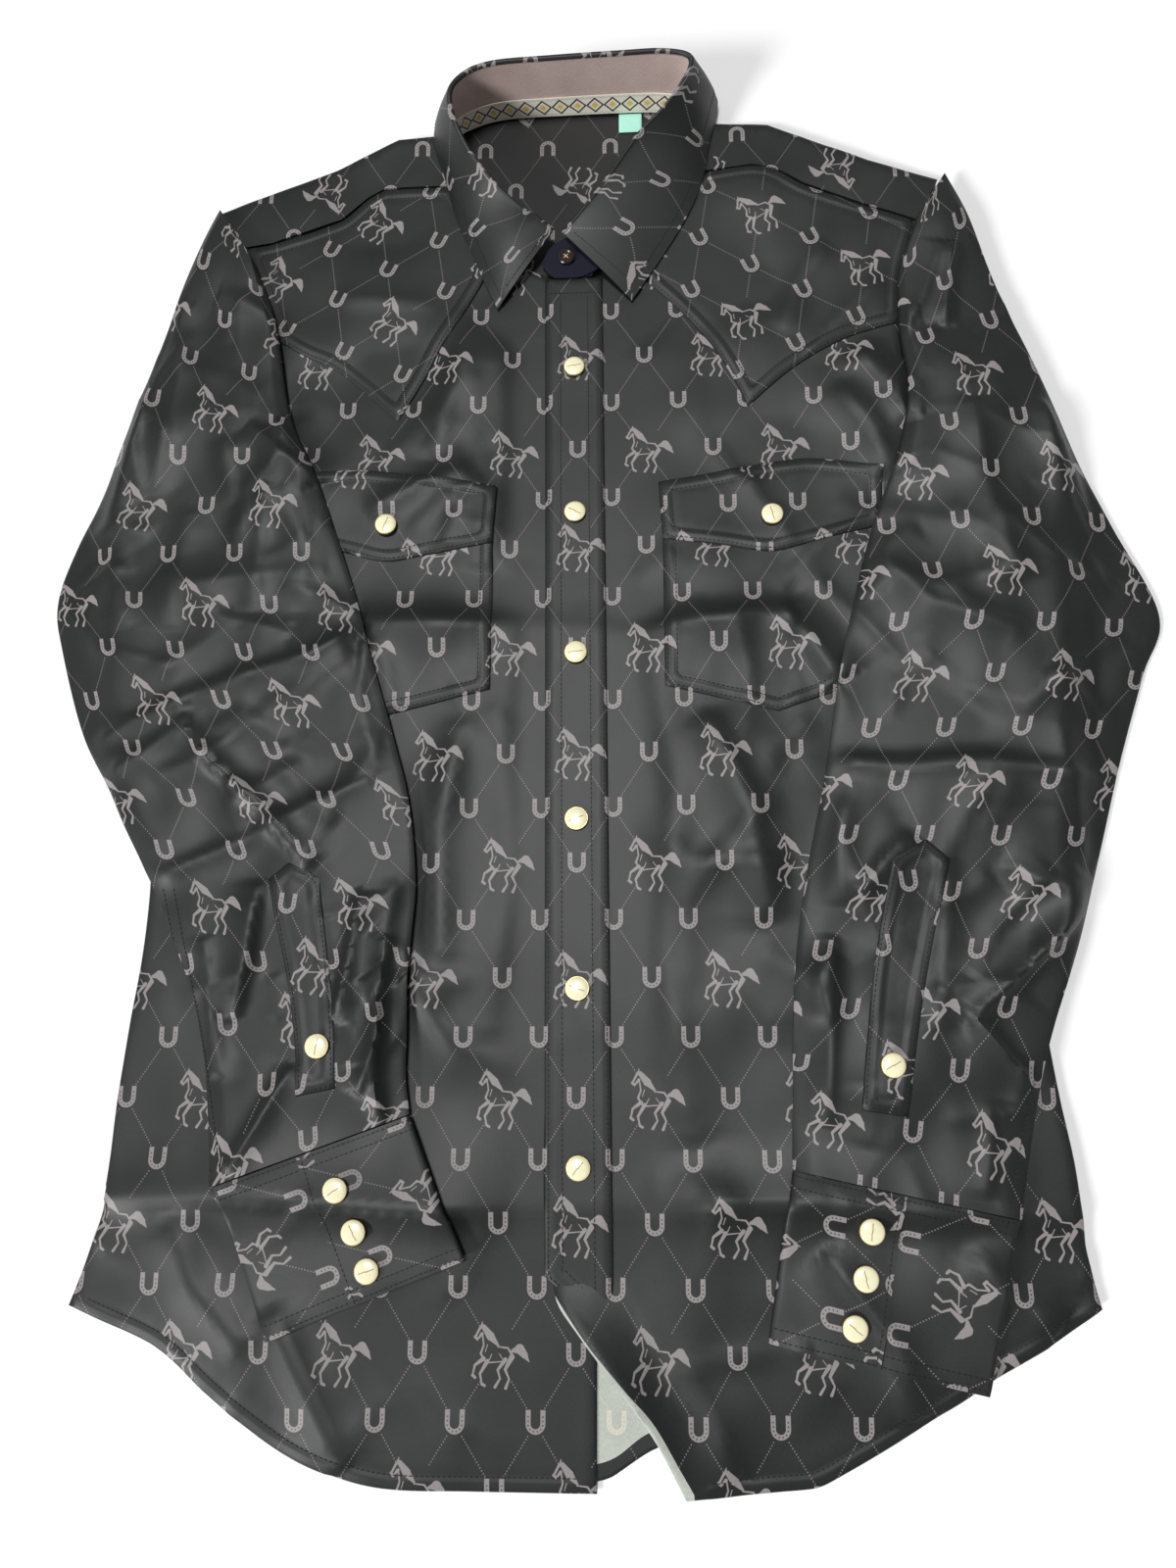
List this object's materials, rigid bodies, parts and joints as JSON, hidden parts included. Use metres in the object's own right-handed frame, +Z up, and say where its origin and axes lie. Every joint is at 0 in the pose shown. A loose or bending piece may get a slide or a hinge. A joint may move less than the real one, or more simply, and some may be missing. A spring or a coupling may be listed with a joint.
{
  "type": "button-up shirt",
  "caption": "Western snap-front shirt in dark printed cotton, laid flat on its back with the long sleeves brought down over the front; standing collar, pointed yokes, flap pockets.",
  "frame": {"origin": "middle of the shirt's outline, on the surface it lies on", "axes": "+X from the shirt's right sleeve to its left sleeve as worn, +Y from the hem to the collar, +Z up off the surface"},
  "size_m": [0.616, 0.7952, 0.0418],
  "materials": {
    "cloth": "matt twill with a one-sided mauve print",
    "lining": "smooth taupe cotton",
    "braid": "woven cream braid with diamonds",
    "navy": "navy cotton",
    "tag": "turquoise woven tape, bare",
    "button": "dark gloss",
    "pearl": "pearl in a brass rim"
  },
  "bodies": {
    "root": {"back": "cloth", "front_left": "cloth", "front_right": "cloth", "front_placket": "cloth", "yoke_back": "cloth", "yoke_front_left": "cloth", "yoke_front_right": "cloth", "pocket_left": "cloth", "pocket_right": "cloth", "flap_left": "cloth", "flap_right": "cloth", "sleeve_left": "cloth", "sleeve_right": "cloth", "slit_facing_left": "cloth", "slit_facing_right": "cloth", "cuff_left": "cloth", "cuff_right": "cloth", "collar_stand": "cloth", "collar_leaf": "cloth", "stand_lining": "lining", "neck_braid": "braid", "stand_end_left": "navy", "stand_end_right": "navy", "size_tag": "tag", "collar_button": "button", "snap_front_1": "pearl", "snap_front_2": "pearl", "snap_front_3": "pearl", "snap_front_4": "pearl", "snap_front_5": "pearl", "snap_front_6": "pearl", "snap_flap_left": "pearl", "snap_flap_right": "pearl", "snap_slit_left": "pearl", "snap_slit_right": "pearl", "snap_cuff_left_1": "pearl", "snap_cuff_left_2": "pearl", "snap_cuff_left_3": "pearl", "snap_cuff_right_1": "pearl", "snap_cuff_right_2": "pearl", "snap_cuff_right_3": "pearl"}
  },
  "joints": []
}
